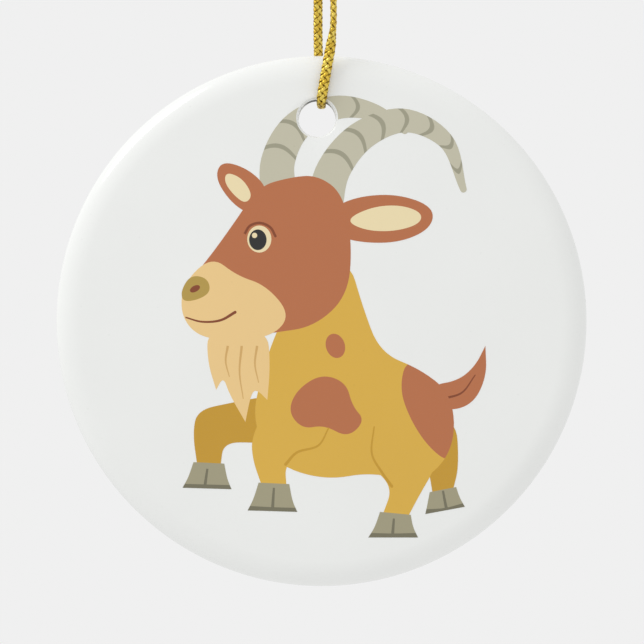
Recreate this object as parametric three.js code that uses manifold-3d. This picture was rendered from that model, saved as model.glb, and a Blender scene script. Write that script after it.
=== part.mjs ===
// A round glazed ceramic ornament with a printed goat, hanging on a knotted loop of gold cord.
// Millimetres, +Z up. The printed face looks toward -Y, with +X to the right of someone facing it.
// The origin is the inner top of the cord's loop, where a hook or a twig holds the ornament up.
import * as THREE from 'three';
import { mergeVertices } from 'three/addons/utils/BufferGeometryUtils.js';
import Module from 'manifold-3d';

const wasm = await Module();
wasm.setup();

// Ceramic disc
const discDiameter = 73;
const discThickness = 4;
const shoulderWidth = 3.6; // how far the rounded edge reaches in from the rim
const holeDiameter = 5.1;
const lipWidth = 0.35; // the hole's two mouths are rounded over this much of the face
const lipDepth = 0.9; // and this much of the hole's wall
const rimToHole = 8.7; // from the top of the rim to the middle of the hole
const holeAside = -0.6; // the hole sits a little left of the disc's middle

// Printed picture
const inkThickness = 0.05;
const pictureReach = 32.4; // how far the picture, as drawn below, reaches from the disc's middle
const pictureMargin = 0.5; // bare flat face left outside the picture
const inkToLip = 0.1; // bare ring around the hole's lip

// Gold cord
const cordDiameter = 1; // a flat braid 1.5 wide and 1 thick, as a round one of that thickness
const cordSides = 8;
const restClearance = 0.12; // between the cord and the top of the hole that hangs on it
const cutGap = 0.3; // between the faces of two lengths of the cord
const knotWidth = 5.2;
const knotDepth = 4;
const knotHeight = 5.6;
const tailStep = 3;
const strandStep = 3;
const bendStep = 0.8;

// Facets
const rimFacets = 96;
const shoulderFacets = 6;
const holeFacets = 40;
const lipFacets = 5;
const trimSamples = 400;
const knotFacets = 20;

// The cord's route, from the knot down the front, through the hole and up the back to the knot.
// It lies flat on both faces for as far up as the disc reaches when it swings.
const frontStrand = [
  [0.7, -0.05, 0.1], [1.5, -0.1, -2.2], [1.95, -0.15, -5], [2, -0.3, -9], [1.95, -0.75, -16],
  [1.8, -1.5, -26], [1.7, -2.25, -36], [1.65, -2.65, -42],
];
const bight = [
  [1.65, -2.65, -42], [1.63, -2.7, -46], [1.63, -2.7, -51], [1.6, -2.7, -55.5], [1.25, -2.7, -58.2],
  [0.75, -2.7, -61], [0.2, -2.7, -64.2], [0.02, -2.3, -65.5], [0, -1.2, -66], [0, 1.2, -66],
  [-0.03, 2.3, -65.5], [-0.1, 2.7, -64.2], [-0.28, 2.7, -61], [-0.44, 2.7, -58.2], [-0.48, 2.7, -55.5],
  [-0.48, 2.7, -51], [-0.5, 2.7, -46], [-0.55, 2.65, -42],
];
const backStrand = [
  [-0.55, 2.65, -42], [-0.8, 2.25, -36], [-1.25, 1.5, -26], [-1.7, 0.75, -16], [-2, 0.3, -9],
  [-1.95, 0.15, -5], [-1.5, 0.1, -2.2], [-0.7, 0.05, 0.1],
];
const bightLow = -66; // the route's lowest point, where the disc hangs
const leftTail = [[-0.8, 0, 5.9], [-1.7, -0.2, 7.6], [-3, -0.3, 9.4], [-4.2, -0.2, 10.6]];
const rightTail = [[0.8, 0, 5.9], [1.5, 0.3, 7.7], [2.3, 0.4, 9.8], [2.7, 0.3, 11.6]];

// The picture's outlines, about the disc's middle: x to the right, z up. Each curve runs smoothly
// inside its points and touches the middle of every side; a third value of 1 keeps a corner sharp.
const inked = {
  head: [
    [-4.5, 19.6], [-8.6, 18.4], [-11.8, 13.6], [-15.4, 8.6], [-18.6, 4.8], [-19, 1], [-16.8, -1.8],
    [-12.5, -2.4], [-6.5, -1.6], [-1, -0.8], [3.6, 3.4], [4.2, 10.4], [3, 17.4], [-0.6, 20],
  ],
  nearEar: [
    [0.8, 15], [4.6, 17], [10.4, 17.4], [15.4, 15.6], [15, 12.6], [10.4, 10.6], [4.2, 10.8], [1, 12.4],
  ],
  farEar: [[-7, 17.6], [-9.6, 20.6], [-13.6, 22], [-14.6, 19.6], [-12.4, 16.2], [-9.6, 14.4]],
  beard: [
    [-15.6, -1], [-15.6, -5.5], [-14.4, -9.4, 1], [-13.4, -7.6], [-12.6, -10], [-10.4, -13.8, 1],
    [-9.6, -9.8], [-8.8, -9.4], [-7.4, -10.8, 1], [-7, -6], [-7.4, -1],
  ],
  coat: [
    [-3.6, 3], [3.6, 9], [5.6, 2], [8, -4.4], [13.6, -6.6], [18, -10.2], [18.2, -17.6], [13.6, -22.4],
    [7, -20.6], [0.5, -21.8], [-6.4, -19.6], [-9.6, -13.6], [-8, -6.8], [-6.2, -1.4],
  ],
  tail: [
    [14.8, -8.8], [18.6, -8.2], [21, -6.2], [22.4, -3.4, 1], [22.6, -7.6], [20.6, -11.6], [16.4, -12.4],
  ],
  farForeleg: [
    [-6, -10], [-12.5, -11.2], [-17, -12.2], [-17.6, -15.4], [-17, -19.6, 1], [-13.8, -19.8, 1],
    [-13.4, -16.6], [-9, -16.6], [-5, -17],
  ],
  farForehoof: [
    [-17.5, -19.3, 1], [-13.3, -19.5, 1], [-12.9, -21.6], [-12.3, -23, 1], [-19, -22.8, 1],
    [-18.2, -21.4],
  ],
  nearForeleg: [
    [-7.6, -12], [-9.6, -16], [-9.4, -19], [-8.2, -22.4, 1], [-4.8, -22.6, 1], [-5, -19.8], [-3, -18.2],
    [1, -17], [0.4, -12],
  ],
  nearForehoof: [
    [-8.6, -22.1, 1], [-4.4, -22.3, 1], [-4, -24.6], [-3.3, -26.1, 1], [-10.1, -25.9, 1], [-9.3, -24.4],
  ],
  nearHindleg: [
    [6.6, -13], [6.2, -19.4], [9.8, -22.6], [8.4, -26.4, 1], [11.8, -26.8, 1], [13.6, -23.4],
    [15.6, -20], [17.4, -13],
  ],
  nearHindhoof: [
    [8, -26.1, 1], [12.2, -26.5, 1], [12.5, -28.2], [13.2, -29.6, 1], [6.4, -29.6, 1], [7.3, -28.2],
  ],
  farHindleg: [[12.6, -15], [14.6, -20], [15.2, -23.6, 1], [18, -23, 1], [18.8, -19.8], [18.4, -13]],
  farHindhoof: [
    [14.8, -23.4, 1], [18.4, -22.7, 1], [18.9, -24.2], [19.6, -25.4, 1], [14.2, -26.4, 1], [14.5, -25],
  ],
};
const hornRuns = [
  [[-5.6, 16], [-6, 21.6], [-3.4, 26.6], [2.2, 29.2], [7.6, 28.4], [11.4, 26]],
  [[0.3, 15], [1.6, 20.6], [5.6, 25.4], [11.4, 27.4], [17, 24.6], [19.4, 18]],
];
const hornBase = 4.9;
const hornTip = 0.9;
const hornTaper = 1.7; // above 1, a horn keeps its width for longer
const hornSteps = 24;
const curveSteps = 6;

const discRadius = discDiameter / 2;
const halfThickness = discThickness / 2;
const holeRadius = holeDiameter / 2;
const lipRadius = holeRadius + lipWidth;
const pictureScale = (discRadius - shoulderWidth - pictureMargin) / pictureReach;
const holeRise = discRadius - rimToHole;
const wallHeight = Math.sqrt(holeRadius ** 2 - holeAside ** 2); // of the hole above its middle, over the bight
const discHeight = bightLow + cordDiameter / 2 + restClearance - wallHeight - holeRise;

function colour(hex, roughness, metalness) {
  return new THREE.MeshStandardMaterial({ color: hex, roughness, metalness });
}

function named(name, geometry, material) {
  const mesh = new THREE.Mesh(geometry, material);
  mesh.name = name;
  return mesh;
}

function toSolid(geometry) {
  const bare = geometry.clone();
  bare.deleteAttribute('normal');
  bare.deleteAttribute('uv');
  const merged = mergeVertices(bare, 1e-4);
  return new wasm.Manifold(new wasm.Mesh({
    numProp: 3,
    vertProperties: Float32Array.from(merged.attributes.position.array),
    triVerts: Uint32Array.from(merged.index.array),
  }));
}

function toGeometry(solid) {
  const mesh = solid.getMesh();
  const geometry = new THREE.BufferGeometry();
  geometry.setAttribute('position', new THREE.BufferAttribute(mesh.vertProperties, 3));
  geometry.setIndex(new THREE.BufferAttribute(mesh.triVerts, 1));
  geometry.computeVertexNormals();
  return geometry;
}

// Points on a quarter of an ellipse about (x, y), from one angle to another in quarter turns
function quarter(x, y, width, height, from, to, facets) {
  return Array.from({ length: facets + 1 }, (_, i) => {
    const angle = THREE.MathUtils.lerp(from, to, i / facets) * Math.PI / 2;
    return new THREE.Vector2(x + width * Math.cos(angle), y + height * Math.sin(angle));
  });
}

function turned(profile, facets) {
  return new THREE.LatheGeometry(profile, facets);
}

function discBlank() {
  const flat = discRadius - shoulderWidth;
  return turned([
    new THREE.Vector2(0, -halfThickness),
    ...quarter(flat, 0, shoulderWidth, halfThickness, -1, 0, shoulderFacets),
    ...quarter(flat, 0, shoulderWidth, halfThickness, 0, 1, shoulderFacets).slice(1),
    new THREE.Vector2(0, halfThickness),
  ], rimFacets);
}

function holeCutter() {
  const depth = halfThickness - lipDepth;
  const past = discThickness;
  return turned([
    new THREE.Vector2(0, -past),
    new THREE.Vector2(lipRadius, -past),
    ...quarter(lipRadius, -depth, lipWidth, lipDepth, -1, -2, lipFacets),
    ...quarter(lipRadius, depth, lipWidth, lipDepth, 2, 1, lipFacets),
    new THREE.Vector2(lipRadius, past),
    new THREE.Vector2(0, past),
  ], holeFacets);
}

function ceramicDisc() {
  const cutter = holeCutter().translate(holeAside, 0, holeRise);
  return toGeometry(toSolid(discBlank()).subtract(toSolid(cutter)));
}

// A closed shape whose curve touches the middle of every side of the outline
function softShape(outline) {
  const points = outline.flatMap(([x, z, sharp]) => {
    const point = new THREE.Vector2(x, z).multiplyScalar(pictureScale);
    return sharp ? [point, point] : [point];
  });
  const middles = points.map((p, i) => p.clone().lerp(points[(i + 1) % points.length], 0.5));
  const shape = new THREE.Shape();
  shape.moveTo(middles.at(-1).x, middles.at(-1).y);
  points.forEach((p, i) => shape.quadraticCurveTo(p.x, p.y, middles[i].x, middles[i].y));
  return shape;
}

// A horn: a strip along a curve, from its base's width to its round tip's
function hornShape(run) {
  const curve = new THREE.SplineCurve(
    run.map(([x, z]) => new THREE.Vector2(x, z).multiplyScalar(pictureScale)),
  );
  const sides = [[], []];
  for (let i = 0; i <= hornSteps; i += 1) {
    const t = i / hornSteps;
    const ahead = curve.getTangent(t);
    const half = THREE.MathUtils.lerp(hornBase, hornTip, t ** hornTaper) * pictureScale / 2;
    const across = new THREE.Vector2(-ahead.y, ahead.x).multiplyScalar(half);
    const middle = curve.getPoint(t);
    sides[0].push(middle.clone().add(across));
    sides[1].unshift(middle.clone().sub(across));
  }
  const tip = curve.getTangent(1).multiplyScalar(hornTip * pictureScale / 2).add(curve.getPoint(1));
  return new THREE.Shape([...sides[0], tip, ...sides[1]]);
}

function inkFilm(shape) {
  const film = new THREE.ExtrudeGeometry(shape, {
    depth: inkThickness,
    bevelEnabled: false,
    curveSegments: curveSteps,
  });
  return toSolid(film.rotateX(Math.PI / 2).translate(0, -halfThickness, 0));
}

function printedPicture() {
  const shapes = [...Object.values(inked).map(softShape), ...hornRuns.map(hornShape)];
  const whole = shapes.map(inkFilm).reduce((joined, film) => joined.add(film));
  const ring = new THREE.CylinderGeometry(
    lipRadius + inkToLip, lipRadius + inkToLip, 2 * discThickness, holeFacets,
  );
  return toGeometry(whole.subtract(toSolid(ring.translate(holeAside, 0, holeRise))));
}

function cordSection() {
  const section = new THREE.Shape();
  for (let i = 0; i < cordSides; i += 1) {
    const angle = 2 * Math.PI * i / cordSides;
    const x = cordDiameter / 2 * Math.cos(angle);
    const y = cordDiameter / 2 * Math.sin(angle);
    if (i === 0) section.moveTo(x, y);
    else section.lineTo(x, y);
  }
  return section;
}

// A plain tube along the points, stopped half a cut's gap short of both of its ends
function cordTube(points, step) {
  const curve = new THREE.CatmullRomCurve3(points.map((p) => new THREE.Vector3(...p)));
  const trim = cutGap / 2 / curve.getLength();
  const fine = curve.getSpacedPoints(trimSamples);
  const kept = fine.filter((_, i) => i / trimSamples >= trim && i / trimSamples <= 1 - trim);
  const trimmed = new THREE.CatmullRomCurve3(kept);
  return new THREE.ExtrudeGeometry(cordSection(), {
    steps: Math.ceil(trimmed.getLength() / step),
    extrudePath: trimmed,
    curveSegments: 1,
  });
}

function knot() {
  const half = knotHeight / 2;
  const profile = quarter(0, 0, knotWidth / 2, half, -1, 1, knotFacets / 2);
  profile[0].x = 0;
  profile.at(-1).x = 0;
  const body = turned(profile, knotFacets);
  return body.rotateX(Math.PI / 2).scale(1, knotDepth / knotWidth, 1).translate(0, 0, half + cutGap / 2);
}

const ceramic = colour(0xe9eae6, 0.15, 0);
const ink = colour(0xd6af50, 0.2, 0);
const gold = colour(0xd8b23c, 0.35, 0.8);

const hangingDisc = new THREE.Group();
hangingDisc.position.z = discHeight;
hangingDisc.add(named('ceramic_disc', ceramicDisc(), ceramic));
hangingDisc.add(named('printed_picture', printedPicture(), ink));

const cord = new THREE.Group();
cord.add(named('cord_knot', knot(), gold.clone()));
cord.add(named('cord_left_tail', cordTube(leftTail, tailStep), gold.clone()));
cord.add(named('cord_right_tail', cordTube(rightTail, tailStep), gold.clone()));
cord.add(named('cord_front_strand', cordTube(frontStrand, strandStep), gold.clone()));
cord.add(named('cord_back_strand', cordTube(backStrand, strandStep), gold.clone()));
cord.add(named('cord_bight', cordTube(bight, bendStep), gold.clone()));

const group = new THREE.Group();
group.add(hangingDisc, cord);

export default group;
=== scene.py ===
"""A round glazed ceramic ornament with a printed goat, on a knotted loop of gold braid. Metres, +Z up."""
import math

import bpy
import numpy as np
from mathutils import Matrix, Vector, geometry


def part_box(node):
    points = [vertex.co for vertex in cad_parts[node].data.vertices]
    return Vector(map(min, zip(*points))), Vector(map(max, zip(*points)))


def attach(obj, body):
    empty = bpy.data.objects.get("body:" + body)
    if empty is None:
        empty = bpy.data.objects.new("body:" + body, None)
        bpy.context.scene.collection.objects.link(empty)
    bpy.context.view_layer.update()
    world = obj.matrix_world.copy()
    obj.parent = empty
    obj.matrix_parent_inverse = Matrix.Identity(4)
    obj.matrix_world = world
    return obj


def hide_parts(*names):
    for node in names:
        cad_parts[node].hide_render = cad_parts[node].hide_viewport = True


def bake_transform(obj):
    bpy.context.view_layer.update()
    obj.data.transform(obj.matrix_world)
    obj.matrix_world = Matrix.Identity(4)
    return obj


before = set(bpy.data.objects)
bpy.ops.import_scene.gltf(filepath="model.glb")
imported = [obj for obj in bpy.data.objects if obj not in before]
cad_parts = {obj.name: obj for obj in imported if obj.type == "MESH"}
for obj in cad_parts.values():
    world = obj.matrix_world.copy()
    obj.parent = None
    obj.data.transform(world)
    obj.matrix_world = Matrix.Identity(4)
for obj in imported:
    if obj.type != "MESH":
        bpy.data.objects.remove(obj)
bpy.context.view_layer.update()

MM = 0.001

# ---------------------------------------------------------------- camera
CAMERA_DISTANCE = 0.27
VIEW_WIDTH = 0.0887  # how much the picture shows at the disc's distance
VIEW_ASIDE = 0.07 * MM
VIEW_DROP = 0.14 * MM
SENSOR_WIDTH = 36.0  # a camera's own unit, millimetres
NEAREST_SEEN = 10 * MM

disc_low, disc_high = (np.array(corner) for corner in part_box("ceramic_disc"))
DISC_CENTRE = (disc_low + disc_high) / 2
DISC_RADIUS = (disc_high[0] - disc_low[0]) / 2
HALF_THICKNESS = (disc_high[1] - disc_low[1]) / 2


def make_camera():
    data = bpy.data.cameras.new("camera")
    data.sensor_width = SENSOR_WIDTH
    data.lens = SENSOR_WIDTH * CAMERA_DISTANCE / VIEW_WIDTH
    data.clip_start = NEAREST_SEEN
    camera = bpy.data.objects.new("camera", data)
    camera.location = (VIEW_ASIDE, -CAMERA_DISTANCE, DISC_CENTRE[2] - VIEW_DROP)
    camera.rotation_euler = (math.pi / 2, 0, 0)
    bpy.context.scene.collection.objects.link(camera)
    bpy.context.scene.camera = camera


make_camera()

# ---------------------------------------------------------------- mesh and curve helpers


def link_mesh(name, vertices, faces, smooth=True):
    mesh = bpy.data.meshes.new(name)
    mesh.from_pydata([tuple(v) for v in vertices], [], [tuple(f) for f in faces])
    mesh.update()
    if smooth:
        mesh.shade_smooth()
    else:
        mesh.shade_flat()
    obj = bpy.data.objects.new(name, mesh)
    bpy.context.scene.collection.objects.link(obj)
    return obj


def point_values(obj, name, values):
    layer = obj.data.attributes.new(name, "FLOAT", "POINT")
    layer.data.foreach_set("value", np.asarray(values, dtype=np.float32))


def unit(vectors):
    return vectors / np.linalg.norm(vectors, axis=-1, keepdims=True)


def smoothstep(low, high, value):
    t = np.clip((value - low) / (high - low), 0, 1)
    return t * t * (3 - 2 * t)


def through(points, per_span=40):
    """A centripetal Catmull-Rom curve through the points, sampled."""
    points = np.asarray(points, float)
    points = np.vstack([2 * points[0] - points[1], points, 2 * points[-1] - points[-2]])
    out = []
    for p0, p1, p2, p3 in zip(points, points[1:], points[2:], points[3:]):
        knots = np.cumsum([0, *(np.linalg.norm(b - a) ** 0.5 for a, b in ((p0, p1), (p1, p2), (p2, p3)))])
        t = np.linspace(knots[1], knots[2], per_span, endpoint=False)[:, None]
        t0, t1, t2, t3 = knots
        a1 = ((t1 - t) * p0 + (t - t0) * p1) / (t1 - t0)
        a2 = ((t2 - t) * p1 + (t - t1) * p2) / (t2 - t1)
        a3 = ((t3 - t) * p2 + (t - t2) * p3) / (t3 - t2)
        b1 = ((t2 - t) * a1 + (t - t0) * a2) / (t2 - t0)
        b2 = ((t3 - t) * a2 + (t - t1) * a3) / (t3 - t1)
        out.append(((t2 - t) * b1 + (t - t1) * b2) / (t2 - t1))
    return np.vstack([*out, points[-2:-1]])


def distances(points):
    """How far along the line each of its points is."""
    return np.concatenate([[0], np.cumsum(np.linalg.norm(np.diff(points, axis=0), axis=1))])


def evenly(points, step):
    """The same line with its points a step apart, and how far along each one is."""
    lengths = distances(points)
    count = max(2, round(lengths[-1] / step) + 1)
    wanted = np.linspace(0, lengths[-1], count)
    return np.stack([np.interp(wanted, lengths, points[:, k]) for k in range(3)], axis=1), wanted


# ---------------------------------------------------------------- gold cord
BRAID_WIDTH = 1.5 * MM
BRAID_THICKNESS = 0.98 * MM
BRAID_LEAD = 4.1 * MM  # one turn of a yarn round the braid
YARNS_EACH_WAY = 4
YARN_WIDTH = 0.56 * MM
YARN_THICKNESS = 0.25 * MM
YARN_SIDES = 8
WEAVE_HEIGHT = 0.1 * MM  # how far a yarn rises over one and dips under the next
CORE_WIDTH = 0.9 * MM
CORE_THICKNESS = 0.45 * MM
CORE_SIDES = 10
IN_HOLE = (0.8, 0.72)  # how much of its width and of its thickness the braid keeps inside the hole
IN_MOUTH = (1.7 * MM, 2.7 * MM)  # the squeeze fades between these distances from the disc's middle plane
OVER_BIGHT = (1 * MM, 2 * MM)  # and between these heights over the cord's lowest point
FLARE_LENGTH = 1.2 * MM  # how much of each cut end has come loose
LOOP_STEP = 0.12 * MM

# The cord's route, from the knot down the front, through the hole and up the back to the knot
ROUTE = [
    (0.0007, -0.00005, 0.0001), (0.0015, -0.0001, -0.0022), (0.00195, -0.00015, -0.005),
    (0.002, -0.0003, -0.009), (0.00195, -0.00075, -0.016), (0.0018, -0.0015, -0.026),
    (0.0017, -0.00225, -0.036), (0.00165, -0.00265, -0.042), (0.00163, -0.0027, -0.046),
    (0.00163, -0.0027, -0.051), (0.0016, -0.0027, -0.0555), (0.00125, -0.0027, -0.0582),
    (0.00075, -0.0027, -0.061), (0.0002, -0.0027, -0.0642), (0.00002, -0.0023, -0.0655),
    (0.0, -0.0012, -0.066), (0.0, 0.0012, -0.066), (-0.00003, 0.0023, -0.0655),
    (-0.0001, 0.0027, -0.0642), (-0.00028, 0.0027, -0.061), (-0.00044, 0.0027, -0.0582),
    (-0.00048, 0.0027, -0.0555), (-0.00048, 0.0027, -0.051), (-0.0005, 0.0027, -0.046),
    (-0.00055, 0.00265, -0.042), (-0.0008, 0.00225, -0.036), (-0.00125, 0.0015, -0.026),
    (-0.0017, 0.00075, -0.016), (-0.002, 0.0003, -0.009), (-0.00195, 0.00015, -0.005),
    (-0.0015, 0.0001, -0.0022), (-0.0007, 0.00005, 0.0001),
]
BIGHT_HEIGHT = -66 * MM


def swept(centres, wide, thick, half_width, half_thickness, sides):
    """Rings of an oval section along a line, and the faces that close them into a tube."""
    angles = 2 * np.pi * np.arange(sides) / sides
    offset = (
        half_width[:, None, None] * np.cos(angles)[None, :, None] * wide[:, None, :]
        + half_thickness[:, None, None] * np.sin(angles)[None, :, None] * thick[:, None, :]
    )
    rings = centres[:, None, :] + offset
    count = len(centres)
    first = np.arange(count - 1)[:, None] * sides + np.arange(sides)[None, :]
    beside = np.arange(count - 1)[:, None] * sides + (np.arange(sides)[None, :] + 1) % sides
    quads = np.stack([first, beside, beside + sides, first + sides], axis=-1).reshape(-1, 4)
    ends = [range(sides)[::-1], (count - 1) * sides + np.arange(sides)]
    faces = [tuple(int(k) for k in face) for face in [*quads, *ends]]
    return rings.reshape(-1, 3), faces


def braid_frame(line, broad_side):
    """At each point of a line: the braid's wide way, and its thin way."""
    ahead = unit(np.gradient(line, axis=0))
    wide = unit(broad_side - (broad_side * ahead).sum(1, keepdims=True) * ahead)
    return wide, np.cross(ahead, wide)


def squeezed(line):
    """The braid's width and thickness along a line: full, but less between the two mouths of the hole."""
    inside = 1 - smoothstep(*IN_MOUTH, abs(line[:, 1]))
    low = 1 - smoothstep(*OVER_BIGHT, line[:, 2] - BIGHT_HEIGHT)
    return [1 - (1 - share) * inside * low for share in IN_HOLE]


def braid(name, lines, broad_sides, step, flare=0.0):
    """A braid of crossing yarns round a core, along each of the lines, as one mesh.

    Each point keeps which yarn it is on (0 for the core), and how far round the yarn's section it is, from 0
    at the outward middle to 1 at the back, which also sets the painted shade down its sides.
    """
    vertices, faces = [], []
    kept = {"yarn": [], "around": []}

    def add(points, polygons, sides, number):
        start = sum(len(v) for v in vertices)
        vertices.append(points)
        faces.extend(tuple(k + start for k in p) for p in polygons)
        round_section = 2 * np.pi * np.arange(sides) / sides
        around = np.tile((1 - np.sin(round_section)) / 2, len(points) // sides)
        yarn = np.full(len(points), number)
        around[-sides:] = 0  # the cut end gets none of the painted shade, and shows bright gold all over
        yarn[-sides:] = max(number, 1)
        kept["yarn"].append(yarn)
        kept["around"].append(around)

    for line, broad in zip(lines, broad_sides):
        centres, distance = evenly(line, step)
        source = distances(line)
        broad = np.stack([np.interp(distance, source, broad[:, k]) for k in range(3)], axis=1)
        wide, thick = braid_frame(centres, broad)
        width, thickness = squeezed(centres)
        loosened = 1 + flare * smoothstep(distance[-1] - FLARE_LENGTH, distance[-1], distance)
        half_a = (BRAID_WIDTH - YARN_THICKNESS) / 2 - WEAVE_HEIGHT
        half_b = (BRAID_THICKNESS - YARN_THICKNESS) / 2 - WEAVE_HEIGHT
        tube, polygons = swept(
            centres, wide, thick, width * CORE_WIDTH / 2, thickness * CORE_THICKNESS / 2, CORE_SIDES
        )
        add(tube, polygons, CORE_SIDES, 0)
        for k in range(2 * YARNS_EACH_WAY):
            way = 1 if k < YARNS_EACH_WAY else -1
            angle = 2 * np.pi * (k / YARNS_EACH_WAY + way * distance / BRAID_LEAD)
            cosine, sine = np.cos(angle)[:, None], np.sin(angle)[:, None]
            outward = unit(half_b * cosine * wide + half_a * sine * thick)
            lift = way * WEAVE_HEIGHT * (thickness * np.cos(YARNS_EACH_WAY * angle))[:, None]
            across = (half_a * loosened * width)[:, None] * cosine * wide
            through_it = (half_b * loosened * thickness)[:, None] * sine * thick
            middle = centres + across + through_it + lift * outward
            run = unit(np.gradient(middle, axis=0))
            flat = unit(np.cross(outward, run))
            tube, polygons = swept(
                middle, flat, np.cross(run, flat), width * YARN_WIDTH / 2, thickness * YARN_THICKNESS / 2,
                YARN_SIDES,
            )
            add(tube, polygons, YARN_SIDES, k + 1)
    obj = link_mesh(name, np.vstack(vertices), faces)
    for attribute, values in kept.items():
        point_values(obj, attribute, np.concatenate(values))
    return obj


# Between which heights over the cord's lowest point the strands turn edge on to the camera
FRONT_TURN = (6.5 * MM, 11 * MM)
BACK_FIRST_TURN = (3 * MM, 8 * MM)
BACK_LAST_TURN = (22 * MM, 50 * MM)
BACK_LEAN = 38.0  # degrees: how far the back strand has turned where it leaves the rim
EDGE_ON = 90.0  # degrees


def broad_side_of(line):
    """The flat braid lies broad side to the ceramic, and both strands turn as they rise from it."""
    height = line[:, 2] - BIGHT_HEIGHT
    front = smoothstep(*FRONT_TURN, height) * EDGE_ON
    back = smoothstep(*BACK_FIRST_TURN, height) * BACK_LEAN
    back += smoothstep(*BACK_LAST_TURN, height) * (EDGE_ON - BACK_LEAN)
    angle = np.radians(np.where(line[:, 1] < 0, front, back))
    return np.stack([np.cos(angle), np.sin(angle), 0 * angle], axis=1)


route = through(ROUTE)
cord_loop = braid("cord_loop", [route], [broad_side_of(route)], LOOP_STEP)

# The knot: both ends of the cord, tied together in one overhand knot and drawn tight
KNOT_MIDDLE = 3.4 * MM
KNOT_STEP = 0.14 * MM
KNOT_TOP = 5.0 * MM  # where the tails leave it
KNOT_CONTACT = 1.25 * MM  # how close two lengths of braid come when the knot is tight
KNOT_SPACING = 0.5 * MM
KNOT_SLACK = 1.3 * MM  # size of the loose knot before it is drawn tight
KNOT_SPAN = 2.12  # how far the loose knot's polynomials run each way
KNOT_ROUNDS = 560
RESPACE_EVERY = 8  # rounds
SHORTEN = 0.35  # in one round, how much of the way to straight each point goes
PUSHES = 5  # at most, in one round
PUSH = 0.3  # how much of its overlap each of two touching points gives up in one push
NEIGHBOURS = 4  # points this near along one strand don't push each other
STRAND_APART = 0.7 * MM  # half the distance between the two strands where they are held
PULL = 16.5 * MM  # how far above and below the knot its strands are held while it is drawn tight
FOOT_BLEND = 2.2 * MM  # over what length a strand comes to its place in the loop
TAIL_LENGTHS = (5.6 * MM, 6.8 * MM)
TAIL_SPREAD = 60.0  # per metre: how quickly the tails part
TAIL_FORWARD = -24.0  # per metre, along Y: how quickly they both lean to the front
TAIL_FLARE = 0.45


def loose_overhand():
    """An open overhand knot, as polynomials give it, with its two ends far up and far down."""
    t = np.linspace(-KNOT_SPAN, KNOT_SPAN, 500)[:, None]
    return KNOT_SLACK * np.hstack([t**3 - 3 * t, t**4 - 4 * t**2 + 1.4, 0.3 * (t**5 - 10 * t)])


def push_apart(points, strand, index, fixed):
    gap = points[None] - points[:, None]
    distance = np.linalg.norm(gap, axis=-1)
    neighbours = (strand[:, None] == strand[None]) & (abs(index[:, None] - index[None]) <= NEIGHBOURS)
    first, second = np.where(np.triu((distance < KNOT_CONTACT) & ~neighbours, 1))
    near = distance[first, second]
    push = (PUSH * (KNOT_CONTACT - near) / np.maximum(near, 1e-9))[:, None] * gap[first, second]
    move = np.zeros_like(points)
    np.add.at(move, second, push)
    np.add.at(move, first, -push)
    move[fixed] = 0
    return points + move, len(first)


def tight_knot():
    """Two strands side by side in an overhand knot, shortened until they bear on each other."""
    base = loose_overhand()
    side = unit(np.cross(unit(np.gradient(base, axis=0)), (0, 1, 0))) * KNOT_CONTACT / 2
    strands = []
    for way in (1, -1):
        low, high = (np.array([way * STRAND_APART, 0, z]) for z in (-PULL, PULL))
        strands.append(np.vstack([low, base + way * side, high]))
    for turn in range(KNOT_ROUNDS):
        if turn % RESPACE_EVERY == 0:
            strands = [evenly(strand, KNOT_SPACING)[0] for strand in strands]
        counts = [len(strand) for strand in strands]
        points = np.vstack(strands)
        strand = np.repeat([0, 1], counts)
        index = np.concatenate([np.arange(count) for count in counts])
        fixed = (index == 0) | (index == np.array(counts)[strand] - 1)
        free = np.where(~fixed)[0]
        points[free] += SHORTEN * ((points[free - 1] + points[free + 1]) / 2 - points[free])
        for _ in range(PUSHES):
            points, touching = push_apart(points, strand, index, fixed)
            if not touching:
                break
        strands = [points[: counts[0]], points[counts[0] :]]
    return strands


def carried_side(line, start):
    """A side direction carried along a line without twist."""
    ahead = unit(np.gradient(line, axis=0))
    sides = [unit(np.asarray(start, float) - np.dot(start, ahead[0]) * ahead[0])]
    for direction in ahead[1:]:
        sides.append(unit(sides[-1] - np.dot(sides[-1], direction) * direction))
    return np.array(sides)


def turned_to_feet(strands, feet):
    """The knot turned and moved so that its two strands come down over the loop's two ends."""
    strands = [through(strand, 8) + (0, 0, KNOT_MIDDLE) for strand in strands]
    strands = [strand[np.argmax(strand[:, 2] > feet[0][2]) :] for strand in strands]
    starts = [strand[0] for strand in strands]
    (x0, y0, _), (x1, y1, _) = starts[1] - starts[0], np.subtract(feet[1], feet[0])
    turn = math.atan2(y1, x1) - math.atan2(y0, x0)
    c, s = math.cos(turn), math.sin(turn)
    spin = np.array([(c, s, 0), (-s, c, 0), (0, 0, 1)])
    move = np.mean(feet, axis=0) - np.mean(starts, axis=0) @ spin
    return [strand @ spin + move for strand in strands]


def knotted_strand(line, foot, way, tail):
    """One strand, from its end of the loop, through the knot, to its own cut end."""
    share = 1 - smoothstep(0, FOOT_BLEND, distances(line))
    line = line + (np.array(foot) - line[0]) * share[:, None]
    line = line[: np.argmax(line[:, 2] > KNOT_TOP + tail)]
    above = np.maximum(line[:, 2] - KNOT_TOP, 0)
    return line + np.outer(above**2, (way * TAIL_SPREAD, TAIL_FORWARD, 0))


feet = (ROUTE[-1], ROUTE[0])
knotted = [
    knotted_strand(line, foot, way, tail)
    for line, foot, way, tail in zip(turned_to_feet(tight_knot(), feet), feet, (-1, 1), TAIL_LENGTHS)
]
cord_knot = braid(
    "cord_knot_tied", knotted, [carried_side(line, (0, 1, 0)) for line in knotted], KNOT_STEP, TAIL_FLARE
)

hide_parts("cord_bight", "cord_front_strand", "cord_back_strand")
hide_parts("cord_knot", "cord_left_tail", "cord_right_tail")
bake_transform(cord_loop)
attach(cord_knot, "loop_top")

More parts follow.
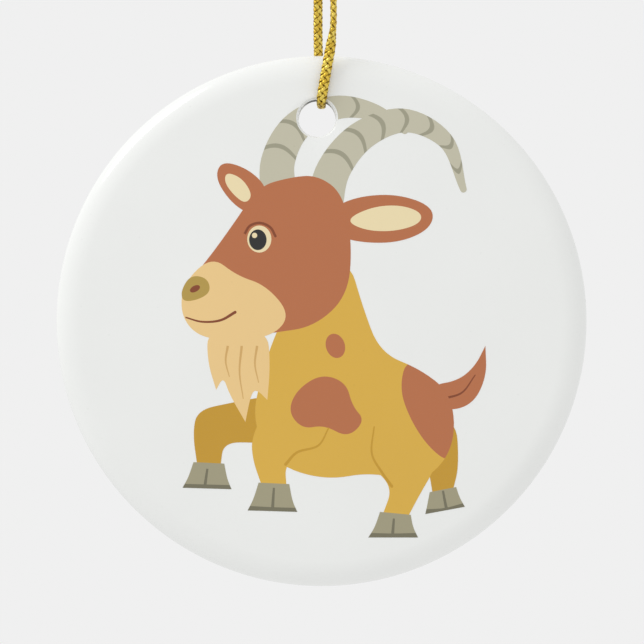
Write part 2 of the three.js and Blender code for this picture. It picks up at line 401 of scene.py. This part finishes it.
# ---------------------------------------------------------------- ceramic disc
FACETS = 256
QUARTER_POINTS = 15  # round a quarter of the rim's curve, and every second one round a mouth's
FACE_RINGS = 13
SHOULDER = 3.6 * MM
HOLE_RADIUS = 2.55 * MM
LIP_WIDTH = 0.3 * MM
LIP_DEPTH = 0.9 * MM
HOLE_ASIDE = -0.6 * MM
RIM_TO_HOLE = 8.7 * MM
CORD_SHADE_REACH = (1.1 * MM, 2.3 * MM)  # painted shade: the hole's wall is painted darkest this near its top, where the cord shades it, and not at all this far away
hole_centre = DISC_CENTRE + np.array([HOLE_ASIDE, 0, DISC_RADIUS - RIM_TO_HOLE])


def circle(centre, radius, depth):
    angle = 2 * np.pi * np.arange(FACETS) / FACETS
    x = centre[0] + radius * np.cos(angle)
    z = centre[2] + radius * np.sin(angle)
    return np.stack([x, np.full(FACETS, centre[1] + depth), z], axis=1)


def disc_rings():
    """Circles round a section of the disc: the hole's wall, a mouth, a face, the rim, and back."""
    quarter = np.linspace(0, np.pi / 2, QUARTER_POINTS)
    wall = HALF_THICKNESS - LIP_DEPTH
    mouth = [
        circle(hole_centre, HOLE_RADIUS + LIP_WIDTH * (1 - math.cos(a)), -(wall + LIP_DEPTH * math.sin(a)))
        for a in quarter[::2]
    ]
    flat_edge = circle(DISC_CENTRE, DISC_RADIUS - SHOULDER, -HALF_THICKNESS)
    face = [mouth[-1] + (flat_edge - mouth[-1]) * t for t in np.linspace(0, 1, FACE_RINGS + 1)[1:]]
    shoulder = [
        circle(DISC_CENTRE, DISC_RADIUS - SHOULDER * (1 - math.sin(a)), -HALF_THICKNESS * math.cos(a))
        for a in quarter[1:]
    ]
    front = mouth + face + shoulder
    mirrored = [ring * (1, -1, 1) for ring in front[-2::-1]]
    return front + mirrored


def make_disc():
    """The disc in one piece. Its last faces made are the hole's wall."""
    rings = disc_rings()
    count = len(rings)
    faces = []
    for i in range(count):
        for k in range(FACETS):
            a, b = i * FACETS + k, i * FACETS + (k + 1) % FACETS
            c, d = (i + 1) % count * FACETS + (k + 1) % FACETS, (i + 1) % count * FACETS + k
            faces.append((a, d, c, b))
    vertices = np.vstack(rings)
    disc = link_mesh("glazed_disc", vertices, faces)
    # painted shadow of the cord: 1 at the top of the hole's wall, fading to 0 away from it
    from_top = vertices - hole_centre - (0, 0, HOLE_RADIUS)
    point_values(disc, "cord_shade_share", 1 - smoothstep(*CORD_SHADE_REACH, np.hypot(from_top[:, 0], from_top[:, 2])))
    return disc


glazed_disc = make_disc()
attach(glazed_disc, "ornament")
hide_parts("ceramic_disc")

# ---------------------------------------------------------------- printed picture
# Drawn in millimetres about the disc's middle: x to the right, z up. A curve runs smoothly inside
# its points and touches the middle of every side; a third value of 1 keeps a corner sharp.
INK_HEIGHT = 0.02 * MM  # how far the ink stands off the glaze
INK_ROOT = 0.02 * MM  # how far it reaches into the glaze
INK_TO_HOLE = 0.32 * MM
CURVE_STEPS = 8
SAME_SPOT = 1e-5  # how near two spots of the drawing are when they count as one

OUTLINES = {
    "head": [
        (-4.5, 19.6), (-8.6, 18.4), (-11.8, 13.6), (-15.4, 8.6), (-18.6, 4.8), (-19, 1), (-16.8, -1.8),
        (-12.5, -2.4), (-6.5, -1.6), (-1, -0.8), (3.6, 3.4), (4.2, 10.4), (3, 17.4), (-0.6, 20),
    ],
    "muzzle": [
        (-15, 8.9), (-18.9, 5.2), (-19.3, 0.9), (-17, -2.1), (-12.4, -2.7), (-6.6, -2.1), (-4.2, 0.9),
        (-7.6, 4.9), (-11.6, 6.2),
    ],
    "nose": [(-19.2, 4.2), (-17.9, 6.3), (-15.6, 5.9), (-15.1, 4), (-16.8, 2.9), (-19, 2.6)],
    "near_ear": [
        (0.8, 15), (4.6, 17), (10.4, 17.4), (15.4, 15.6), (15, 12.6), (10.4, 10.6), (4.2, 10.8), (1, 12.4),
    ],
    "near_ear_inside": [
        (3.2, 13.8), (6.8, 15.6), (10.8, 15.9), (13.8, 14.8), (13.4, 13.2), (9.8, 12.2), (5.8, 12.4),
    ],
    "far_ear": [(-7, 17.6), (-9.6, 20.6), (-13.6, 22), (-14.6, 19.6), (-12.4, 16.2), (-9.6, 14.4)],
    "far_ear_inside": [(-9.4, 17.2), (-10.8, 19.5), (-13, 20.4), (-13.3, 19), (-12, 17.2), (-10.4, 16)],
    "beard": [
        (-15.6, -1), (-15.6, -5.5), (-14.4, -9.4, 1), (-13.4, -7.6), (-12.6, -10), (-10.4, -13.8, 1),
        (-9.6, -9.8), (-8.8, -9.4), (-7.4, -10.8, 1), (-7, -6), (-7.4, -1),
    ],
    "coat": [
        (-3.6, 3), (3.6, 9), (5.6, 2), (8, -4.4), (13.6, -6.6), (18, -10.2), (18.2, -17.6),
        (13.6, -22.4), (7, -20.6), (0.5, -21.8), (-6.4, -19.6), (-9.6, -13.6), (-8, -6.8), (-6.2, -1.4),
    ],
    "shoulder_patch": [
        (-3.4, -9.4), (0, -7.2), (3.4, -8.4), (4.2, -11.6), (6, -13.6), (3.6, -16), (0.4, -14.2),
        (-2.6, -14.8), (-4.6, -12.4),
    ],
    "rump_patch": [
        (11.8, -4.6), (20, -8), (20, -17.6), (17.4, -19.4), (14.6, -17.2), (12.2, -13.6), (10.6, -9.2),
    ],
    "tail": [
        (14.8, -8.8), (18.6, -8.2), (21, -6.2), (22.4, -3.4, 1), (22.6, -7.6), (20.6, -11.6),
        (16.4, -12.4),
    ],
    "far_foreleg": [
        (-6, -10), (-12.5, -11.2), (-17, -12.2), (-17.6, -15.4), (-17, -19.6, 1), (-13.8, -19.8, 1),
        (-13.4, -16.6), (-9, -16.6), (-5, -17),
    ],
    "far_forehoof": [
        (-17.5, -19.3, 1), (-13.3, -19.5, 1), (-12.9, -21.6), (-12.3, -23, 1), (-19, -22.8, 1),
        (-18.2, -21.4),
    ],
    "near_foreleg": [
        (-7.6, -12), (-9.6, -16), (-9.4, -19), (-8.2, -22.4, 1), (-4.8, -22.6, 1), (-5, -19.8),
        (-3, -18.2), (1, -17), (0.4, -12),
    ],
    "near_forehoof": [
        (-8.6, -22.1, 1), (-4.4, -22.3, 1), (-4, -24.6), (-3.3, -26.1, 1), (-10.1, -25.9, 1),
        (-9.3, -24.4),
    ],
    "near_hindleg": [
        (6.6, -13), (6.2, -19.4), (9.8, -22.6), (8.4, -26.4, 1), (11.8, -26.8, 1), (13.6, -23.4),
        (15.6, -20), (17.4, -13),
    ],
    "near_hindhoof": [
        (8, -26.1, 1), (12.2, -26.5, 1), (12.5, -28.2), (13.2, -29.6, 1), (6.4, -29.6, 1), (7.3, -28.2),
    ],
    "far_hindleg": [
        (12.6, -15), (14.6, -20), (15.2, -23.6, 1), (18, -23, 1), (18.8, -19.8), (18.4, -13),
    ],
    "far_hindhoof": [
        (14.8, -23.4, 1), (18.4, -22.7, 1), (18.9, -24.2), (19.6, -25.4, 1), (14.2, -26.4, 1), (14.5, -25),
    ],
}
HORN_BASE = 4.9
HORN_TIP = 0.9
HORN_TAPER = 1.7  # above 1, a horn keeps its width for longer
HORN_RUNS = {
    "far_horn": [(-5.6, 16), (-6, 21.6), (-3.4, 26.6), (2.2, 29.2), (7.6, 28.4), (11.4, 26)],
    "near_horn": [(0.3, 15), (1.6, 20.6), (5.6, 25.4), (11.4, 27.4), (17, 24.6), (19.4, 18)],
}
HORN_BANDS = {"far_horn": (0.24, 0.36, 0.66), "near_horn": (0.24, 0.35, 0.46, 0.57, 0.68, 0.79, 0.89)}
BAND_LENGTH = 0.02  # along the horn, as a share of it
BAND_BOW = 0.03
SOLE_WIDTH = 1.5
CLEFT_WIDTHS = (0.3, 0.45)
CREASE_WIDTHS = (0.2, 0.42)  # where a near leg meets the coat
BEARD_LINES = ((-13.1, -7.6), (-11.2, -10.6), (-9.1, -8.4))  # each one's place across, and its foot
BEARD_LINE_TOP = -3.4
BEARD_LINE_WIDTHS = (0.34, 0.12)

# Each ink: its colour on a screen, 0 to 255, and the record's slot
INKS = {
    "brown": ((182, 116, 82), "ink_brown"),
    "umber": ((134, 80, 56), "ink_brown"),
    "ochre": ((214, 174, 81), "ink_ochre"),
    "shade": ((194, 152, 64), "ink_ochre"),
    "cream": ((231, 199, 141), "ink_cream"),
    "sand": ((206, 168, 108), "ink_cream"),
    "pale": ((232, 217, 175), "ink_cream"),
    "horn": ((192, 189, 168), "ink_horn"),
    "band": ((158, 156, 136), "ink_horn"),
    "hoof": ((161, 156, 130), "ink_hoof"),
    "sole": ((121, 118, 99), "ink_hoof"),
    "nose": ((178, 152, 84), "ink_hoof"),
    "dark": ((40, 27, 20), "ink_dark"),
}


def soft(outline):
    """A closed curve that touches the middle of every side of the outline."""
    points = []
    for x, z, *sharp in outline:
        points += [(x, z)] * (2 if sharp else 1)
    points = np.array(points, float)
    after = (points + np.roll(points, -1, axis=0)) / 2
    before = np.roll(after, 1, axis=0)
    t = np.arange(CURVE_STEPS)[None, :, None] / CURVE_STEPS
    curve = (1 - t) ** 2 * before[:, None] + 2 * t * (1 - t) * points[:, None] + t**2 * after[:, None]
    curve = curve.reshape(-1, 2)
    return curve[np.linalg.norm(curve - np.roll(curve, 1, axis=0), axis=1) > 1e-6]


def run_of(points):
    flat = [(x, z, 0) for x, z in points]
    return through(flat, 24)[:, :2]


def on_strip(run, base, tip, taper, along, across):
    """A point of a tapering strip: along runs from 0 to 1, and across from -1 to 1."""
    share = np.linspace(0, 1, len(run))
    ahead = unit(np.gradient(run, axis=0))
    middle = np.stack([np.interp(along, share, run[:, k]) for k in (0, 1)], axis=1)
    ahead = unit(np.stack([np.interp(along, share, ahead[:, k]) for k in (0, 1)], axis=1))
    half = (base + (tip - base) * along**taper)[:, None] / 2
    return middle + np.stack([-ahead[:, 1], ahead[:, 0]], axis=1) * half * across[:, None]


def strip(points, base, tip, steps=40, taper=1.0):
    """A tapering strip along a run of points, with a round tip."""
    run = run_of(points)
    along = np.linspace(0, 1, steps)
    left, right = (on_strip(run, base, tip, taper, along, np.full(steps, side)) for side in (1.0, -1.0))
    ahead = unit(run[-1] - run[-2])
    across = np.array([-ahead[1], ahead[0]])
    turn = np.linspace(np.pi / 2, -np.pi / 2, 9)[1:-1, None]
    cap = run[-1] + tip / 2 * (np.cos(turn) * ahead + np.sin(turn) * across)
    return np.vstack([left, cap, right[::-1]])


def band(points, start):
    """A bowed slice across a horn."""
    run = run_of(points)
    across = np.linspace(-1, 1, 12)
    bow = BAND_BOW * (1 - across**2)
    low, high = (
        on_strip(run, HORN_BASE, HORN_TIP, HORN_TAPER, place + bow, across)
        for place in (start, start + BAND_LENGTH)
    )
    return np.vstack([low, high[::-1]])


def oval(x, z, half_width, half_height, tilt=0.0):
    angle = np.linspace(0, 2 * np.pi, 32, endpoint=False)
    u, v = half_width * np.cos(angle), half_height * np.sin(angle)
    c, s = math.cos(math.radians(tilt)), math.sin(math.radians(tilt))
    return np.stack([x + c * u - s * v, z + s * u + c * v], axis=1)


def goat():
    """The picture from back to front: (ink, shape, the shape that it is kept inside or None)."""
    shape = {name: soft(outline) for name, outline in OUTLINES.items()}
    shape |= {name: strip(run, HORN_BASE, HORN_TIP, 40, HORN_TAPER) for name, run in HORN_RUNS.items()}
    layers = []

    def paint(ink, what, inside=None):
        layers.append((ink, shape[what] if isinstance(what, str) else what, inside))

    def horn(name):
        paint("horn", name)
        for start in HORN_BANDS[name]:
            paint("band", band(HORN_RUNS[name], start), name)

    def hoof(name, low, cleft):
        paint("hoof", name)
        paint("sole", strip(low, SOLE_WIDTH, SOLE_WIDTH, 6), name)
        paint("sole", strip(cleft, *CLEFT_WIDTHS, 8), name)

    horn("far_horn")
    paint("brown", "far_ear")
    paint("pale", "far_ear_inside")
    paint("shade", "far_hindleg")
    hoof(
        "far_hindhoof", [(14, -26.5), (17, -26.3), (20, -25.5)],
        [(16.6, -23.2), (16.9, -24.8), (17.2, -26.2)],
    )
    paint("shade", "far_foreleg")
    hoof(
        "far_forehoof", [(-19.4, -23), (-15.6, -23.1), (-12, -23.2)],
        [(-15.6, -20.2), (-15.8, -21.6), (-16, -23)],
    )
    paint("brown", "tail")
    paint("umber", strip([(16.8, -10.6), (19.2, -9.8), (21, -7.4)], 0.35, 0.15, 12), "tail")
    paint("ochre", "coat")
    paint("brown", oval(1.9, -3.4, 1.3, 1.7, 18), "coat")
    paint("ochre", "near_hindleg")
    paint("brown", "rump_patch", "coat")
    crease = strip([(7.2, -14.4), (6.9, -18.2), (8.2, -20.6), (9.6, -22.6)], *CREASE_WIDTHS)
    paint("shade", crease, "near_hindleg")
    hoof(
        "near_hindhoof", [(6, -29.7), (9.8, -29.8), (13.6, -29.7)],
        [(9.9, -27), (9.8, -28.2), (9.7, -29.6)],
    )
    paint("ochre", "near_foreleg")
    paint("brown", "shoulder_patch", "coat")
    paint("shade", strip([(1, -14.6), (-0.4, -17), (-3.4, -18), (-4.9, -19.6)], *CREASE_WIDTHS))
    hoof(
        "near_forehoof", [(-10.4, -26), (-6.8, -26.2), (-3, -26.3)],
        [(-6.5, -22.8), (-6.6, -24.2), (-6.7, -26)],
    )
    paint("cream", "beard")
    for x, foot in BEARD_LINES:
        line = [(x + 0.3, BEARD_LINE_TOP), (x, (foot + BEARD_LINE_TOP) / 2), (x + 0.5, foot)]
        paint("sand", strip(line, *BEARD_LINE_WIDTHS, 12), "beard")
    horn("near_horn")
    paint("brown", "head")
    paint("cream", "muzzle")
    paint("nose", "nose")
    paint("umber", oval(-17.3, 4.4, 0.75, 0.42, 28))
    paint("umber", strip([(-18.6, 0.5), (-16.4, -0.1), (-13.8, 0.1), (-11.8, 1.2)], 0.2, 0.4, 24))
    paint("pale", oval(-8.5, 11.2, 1.65, 1.85))
    paint("dark", oval(-8.7, 11.1, 1.2, 1.42))
    paint("pale", oval(-9.15, 11.7, 0.36, 0.36))
    paint("umber", strip([(-10.5, 11.9), (-9.8, 13), (-8.4, 13.4), (-7, 12.8), (-6.3, 11.6)], 0.35, 0.35, 24))
    paint("brown", "near_ear")
    paint("pale", "near_ear_inside")
    return layers, {id(points): name for name, points in shape.items()}


def ink_triangles():
    """The picture as flat triangles, none over another, each with the ink that is on top there."""
    layers, names = goat()
    clear = (HOLE_RADIUS + INK_TO_HOLE) / MM
    hole = oval(HOLE_ASIDE / MM, (hole_centre[2] - DISC_CENTRE[2]) / MM, clear, clear)
    layers.append((None, hole, None))
    vertices, loops = [], []
    for _, points, _ in layers:
        area = np.cross(points, np.roll(points, -1, axis=0)).sum()
        points = points if area > 0 else points[::-1]
        loops.append(list(range(len(vertices), len(vertices) + len(points))))
        vertices += [Vector(p) for p in points]
    cut = geometry.delaunay_2d_cdt(vertices, [], loops, 1, SAME_SPOT, True)
    spots, _, triangles, _, _, sources = cut
    by_ink = {}
    for triangle, over in zip(triangles, sources):
        covering = {names.get(id(layers[k][1])) for k in over}
        shown = [layers[k][0] for k in sorted(over) if layers[k][2] is None or layers[k][2] in covering]
        if shown and shown[-1] is not None:
            by_ink.setdefault(shown[-1], []).append(triangle)
    return [tuple(spot) for spot in spots], by_ink


def ink_film(ink, spots, triangles):
    """A closed film of one ink: its top stands off the glaze, and its root lies in it."""
    used = sorted({k for triangle in triangles for k in triangle})
    place = {k: i for i, k in enumerate(used)}
    flat = np.array([spots[k] for k in used]) * MM
    top = np.stack([flat[:, 0], np.full(len(flat), -HALF_THICKNESS - INK_HEIGHT), flat[:, 1]], axis=1)
    root = top + (0, INK_HEIGHT + INK_ROOT, 0)
    count = len(used)
    faces = [tuple(place[k] for k in triangle) for triangle in triangles]
    edges = {(face[i], face[(i + 1) % 3]) for face in faces for i in range(3)}
    walls = [(b, a, a + count, b + count) for a, b in edges if (b, a) not in edges]
    under = [tuple(k + count for k in face[::-1]) for face in faces]
    vertices = np.vstack([top, root]) + DISC_CENTRE * (1, 0, 1)
    film = link_mesh(f"print_{ink}", vertices, faces + under + walls, False)
    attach(film, "ornament")
    return film


ink_spots, ink_faces = ink_triangles()
ink_films = {ink: ink_film(ink, ink_spots, faces) for ink, faces in ink_faces.items()}
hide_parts("printed_picture")

# ---------------------------------------------------------------- materials
WHITE_SCREEN = (233, 235, 232)  # how the white glaze looks beside the inks
WHITE = (0.856, 0.866, 0.848)  # its true colour
GLOSS_VEIL = 0.042  # the studio light that the gloss adds over every colour
DARKEST_INK = 0.003
GLAZE_ROUGHNESS = 0.16
GLAZE_COAT = 0.25
COAT_ROUGHNESS = 0.06
GOLD_TINTS = ((0.74, 0.49, 0.05), (0.86, 0.6, 0.075), (0.96, 0.76, 0.16))
SIDE_PAINTED_SHADE = (0.62, 0.55, 0.4)  # painted shade: what darkens a yarn's colour down its sides, where the yarns shade each other
BACK_PAINTED_SHADE = (0.14, 0.1, 0.04)  # and at its back, in the gaps between yarns
# painted shade: the core, seen only in the gaps between yarns, is near black
CORE_PAINTED_SHADE = (0.1, 0.07, 0.02)
GOLD_METAL = 0.85
FILAMENT_WAVES = 40.0
# unglazed clay, greyer than the white glaze partly as painted shade inside the hole
CLAY_AND_HOLE_SHADE = ((0.6, 0.6, 0.57), (0.7, 0.7, 0.67))
CLAY_ROUGHNESS = 0.75
PAINTED_CORD_SHADE = 0.28
BUMP_HEIGHT = 0.02 * MM

# How fine each pattern is: a noise texture's scale, per metre
CLOUDS = 70
SPECKS = 1500
GLAZE_WAVES = 110
GLAZE_RIPPLES = 800
GLINTS = 5200
SHEEN = 3800
FUZZ = 9000
GRAIN = 6000


def screen_to_linear(colour):
    share = np.array(colour, float) / 255
    return np.where(share <= 0.04045, share / 12.92, ((share + 0.055) / 1.055) ** 2.4)


def nodes_of(name):
    material = bpy.data.materials.new(name)
    material.use_nodes = True
    tree = material.node_tree
    return material, tree, tree.nodes["Principled BSDF"]


def noise(tree, place, scale, detail=2.0, roughness=0.5):
    node = tree.nodes.new("ShaderNodeTexNoise")
    node.inputs["Scale"].default_value = scale
    node.inputs["Detail"].default_value = detail
    node.inputs["Roughness"].default_value = roughness
    tree.links.new(place, node.inputs["Vector"])
    return node.outputs["Fac"]


def ramp(tree, value, stops):
    node = tree.nodes.new("ShaderNodeValToRGB")
    elements = node.color_ramp.elements
    while len(elements) < len(stops):
        elements.new(0.5)
    for element, (position, colour) in zip(elements, stops):
        element.position = position
        element.color = (*colour, 1)
    tree.links.new(value, node.inputs["Fac"])
    return node.outputs["Color"]


def mixed(tree, blend_type, share, first, second):
    node = tree.nodes.new("ShaderNodeMix")
    node.data_type = "RGBA"
    node.blend_type = blend_type
    node.inputs[0].default_value = share
    tree.links.new(first, node.inputs[6])
    tree.links.new(second, node.inputs[7])
    return node.outputs[2]


def calculated(tree, operation, first, second):
    node = tree.nodes.new("ShaderNodeMath")
    node.operation = operation
    for socket, value in zip(node.inputs, (first, second)):
        if isinstance(value, (int, float)):
            socket.default_value = value
        else:
            tree.links.new(value, socket)
    return node.outputs[0]


def bumped(tree, height, strength):
    node = tree.nodes.new("ShaderNodeBump")
    node.inputs["Strength"].default_value = strength
    node.inputs["Distance"].default_value = BUMP_HEIGHT
    tree.links.new(height, node.inputs["Height"])
    return node.outputs["Normal"]


def object_place(tree):
    return tree.nodes.new("ShaderNodeTexCoord").outputs["Object"]


def grey(value):
    return (value, value, value)


def glaze(name, colour):
    """A gloss glaze with faint mottling, fine specks and a slight orange peel."""
    material, tree, shader = nodes_of(name)
    place = object_place(tree)
    colour = np.array(colour)
    cloud = ramp(tree, noise(tree, place, CLOUDS, 3), [(0.3, tuple(colour * 0.985)), (0.7, tuple(colour))])
    specks = ramp(tree, noise(tree, place, SPECKS, 1), [(0.2, grey(0.955)), (0.27, grey(1.0))])
    tree.links.new(mixed(tree, "MULTIPLY", 1.0, cloud, specks), shader.inputs["Base Color"])
    waves = calculated(tree, "MULTIPLY", noise(tree, place, GLAZE_WAVES, 2), 3.0)
    peel = calculated(tree, "ADD", waves, noise(tree, place, GLAZE_RIPPLES, 2))
    tree.links.new(bumped(tree, peel, 0.25), shader.inputs["Normal"])
    shader.inputs["Roughness"].default_value = GLAZE_ROUGHNESS
    shader.inputs["Coat Weight"].default_value = GLAZE_COAT
    shader.inputs["Coat Roughness"].default_value = COAT_ROUGHNESS
    return material


def printed(ink):
    """An ink's true colour, from how it looks beside the white once the gloss lies over both."""
    share = (screen_to_linear(INKS[ink][0]) - GLOSS_VEIL) / (screen_to_linear(WHITE_SCREEN) - GLOSS_VEIL)
    return glaze(f"print_{ink}", np.array(WHITE) * np.maximum(share, DARKEST_INK))


def attribute(tree, name):
    node = tree.nodes.new("ShaderNodeAttribute")
    node.attribute_name = name
    return node.outputs["Fac"]


def gold_braid():
    """Metallic gold yarn: each a little different, filaments along it, and painted shade down its sides and
    on its near-black core, where the yarns shade each other.
    """
    material, tree, shader = nodes_of("gold_braid")
    yarn, around = attribute(tree, "yarn"), attribute(tree, "around")
    per_yarn = tree.nodes.new("ShaderNodeTexWhiteNoise")
    per_yarn.noise_dimensions = "1D"
    tree.links.new(yarn, per_yarn.inputs["W"])
    tint = ramp(tree, per_yarn.outputs["Value"], list(zip((0.0, 0.5, 1.0), GOLD_TINTS)))
    place = object_place(tree)
    glints = ramp(tree, noise(tree, place, GLINTS, 2, 0.7), [(0.35, grey(0.72)), (0.62, grey(1.0))])
    # painted shade down each yarn's sides and back
    sides = ramp(tree, around, [(0.08, grey(1.0)), (0.3, SIDE_PAINTED_SHADE), (0.62, BACK_PAINTED_SHADE)])
    # painted shade in the gaps: the core is near black
    core = ramp(tree, yarn, [(0.0, CORE_PAINTED_SHADE), (0.5, grey(1.0))])
    colour = mixed(tree, "MULTIPLY", 1.0, mixed(tree, "MULTIPLY", 0.8, tint, glints), sides)
    tree.links.new(mixed(tree, "MULTIPLY", 1.0, colour, core), shader.inputs["Base Color"])
    roughness = ramp(tree, noise(tree, place, SHEEN, 2), [(0.3, grey(0.2)), (0.7, grey(0.4))])
    tree.links.new(roughness, shader.inputs["Roughness"])
    grooves = calculated(tree, "SINE", calculated(tree, "MULTIPLY", around, FILAMENT_WAVES), 0)
    relief = calculated(tree, "ADD", grooves, noise(tree, place, FUZZ, 2, 0.6))
    tree.links.new(bumped(tree, relief, 0.5), shader.inputs["Normal"])
    shader.inputs["Metallic"].default_value = GOLD_METAL
    return material


def clay_wall_with_painted_shade():
    """The hole's wall, where the glaze doesn't reach: rough and grainy, greyer than the glaze partly as
    painted shade of the hole's inside, and with a painted shadow of the cord at its top.
    """
    material, tree, shader = nodes_of("clay_wall_with_painted_shade")
    place = object_place(tree)
    grain = noise(tree, place, GRAIN, 3, 0.7)
    # greyer than the glaze: unglazed clay, partly painted shade of the hole's inside
    clay = ramp(tree, grain, list(zip((0.35, 0.65), CLAY_AND_HOLE_SHADE)))
    # painted shadow of the cord, darkest at the top of the hole's wall
    cord_shade_colour = ramp(tree, attribute(tree, "cord_shade_share"), [(0.0, grey(1.0)), (1.0, grey(PAINTED_CORD_SHADE))])
    tree.links.new(mixed(tree, "MULTIPLY", 1.0, clay, cord_shade_colour), shader.inputs["Base Color"])
    tree.links.new(bumped(tree, grain, 0.25), shader.inputs["Normal"])
    shader.inputs["Roughness"].default_value = CLAY_ROUGHNESS
    return material


def put_on(obj, *materials):
    for material in materials:
        obj.data.materials.append(material)


gold = gold_braid()
for piece in (cord_loop, cord_knot):
    put_on(piece, gold)
put_on(glazed_disc, glaze("white_glaze", WHITE), clay_wall_with_painted_shade())
disc_faces = glazed_disc.data.polygons
in_wall = np.arange(len(disc_faces)) >= len(disc_faces) - FACETS
disc_faces.foreach_set("material_index", in_wall.astype(np.int32))
for ink, film in ink_films.items():
    put_on(film, printed(ink))

# ---------------------------------------------------------------- light and floor
FLOOR_DROP = 0.25
FLOOR_RADIUS = 1.4  # its far edge stays below the camera's view
FLOOR_SIDES = 128
FLOOR_COLOUR = 0.9
FLOOR_ROUGHNESS = 0.9
BACKGROUND = 0.871  # the pale studio all round, which also lights the ornament evenly
KEY = {"place": (-0.32, -0.14, 0.36), "size": 0.26, "power": 0.82}


def area_light(name, place, size, power):
    data = bpy.data.lights.new(name, "AREA")
    data.shape = "DISK"
    data.size = size
    data.energy = power
    lamp = bpy.data.objects.new(name, data)
    lamp.location = Vector(DISC_CENTRE) + Vector(place)
    lamp.rotation_euler = Vector(place).to_track_quat("Z", "Y").to_euler()
    bpy.context.scene.collection.objects.link(lamp)


def make_floor():
    height = disc_low[2] - FLOOR_DROP
    angles = 2 * np.pi * np.arange(FLOOR_SIDES) / FLOOR_SIDES
    edge = [(FLOOR_RADIUS * math.cos(a), FLOOR_RADIUS * math.sin(a), height) for a in angles]
    floor = link_mesh("floor", edge, [tuple(range(FLOOR_SIDES))], False)
    material, _, shader = nodes_of("floor")
    shader.inputs["Base Color"].default_value = (*grey(FLOOR_COLOUR), 1)
    shader.inputs["Roughness"].default_value = FLOOR_ROUGHNESS
    put_on(floor, material)


def make_world():
    world = bpy.data.worlds.new("world")
    world.use_nodes = True
    world.node_tree.nodes["Background"].inputs["Color"].default_value = (*grey(BACKGROUND), 1)
    bpy.context.scene.world = world


area_light("key", **KEY)
make_floor()
make_world()
bpy.context.scene.view_settings.view_transform = "Standard"
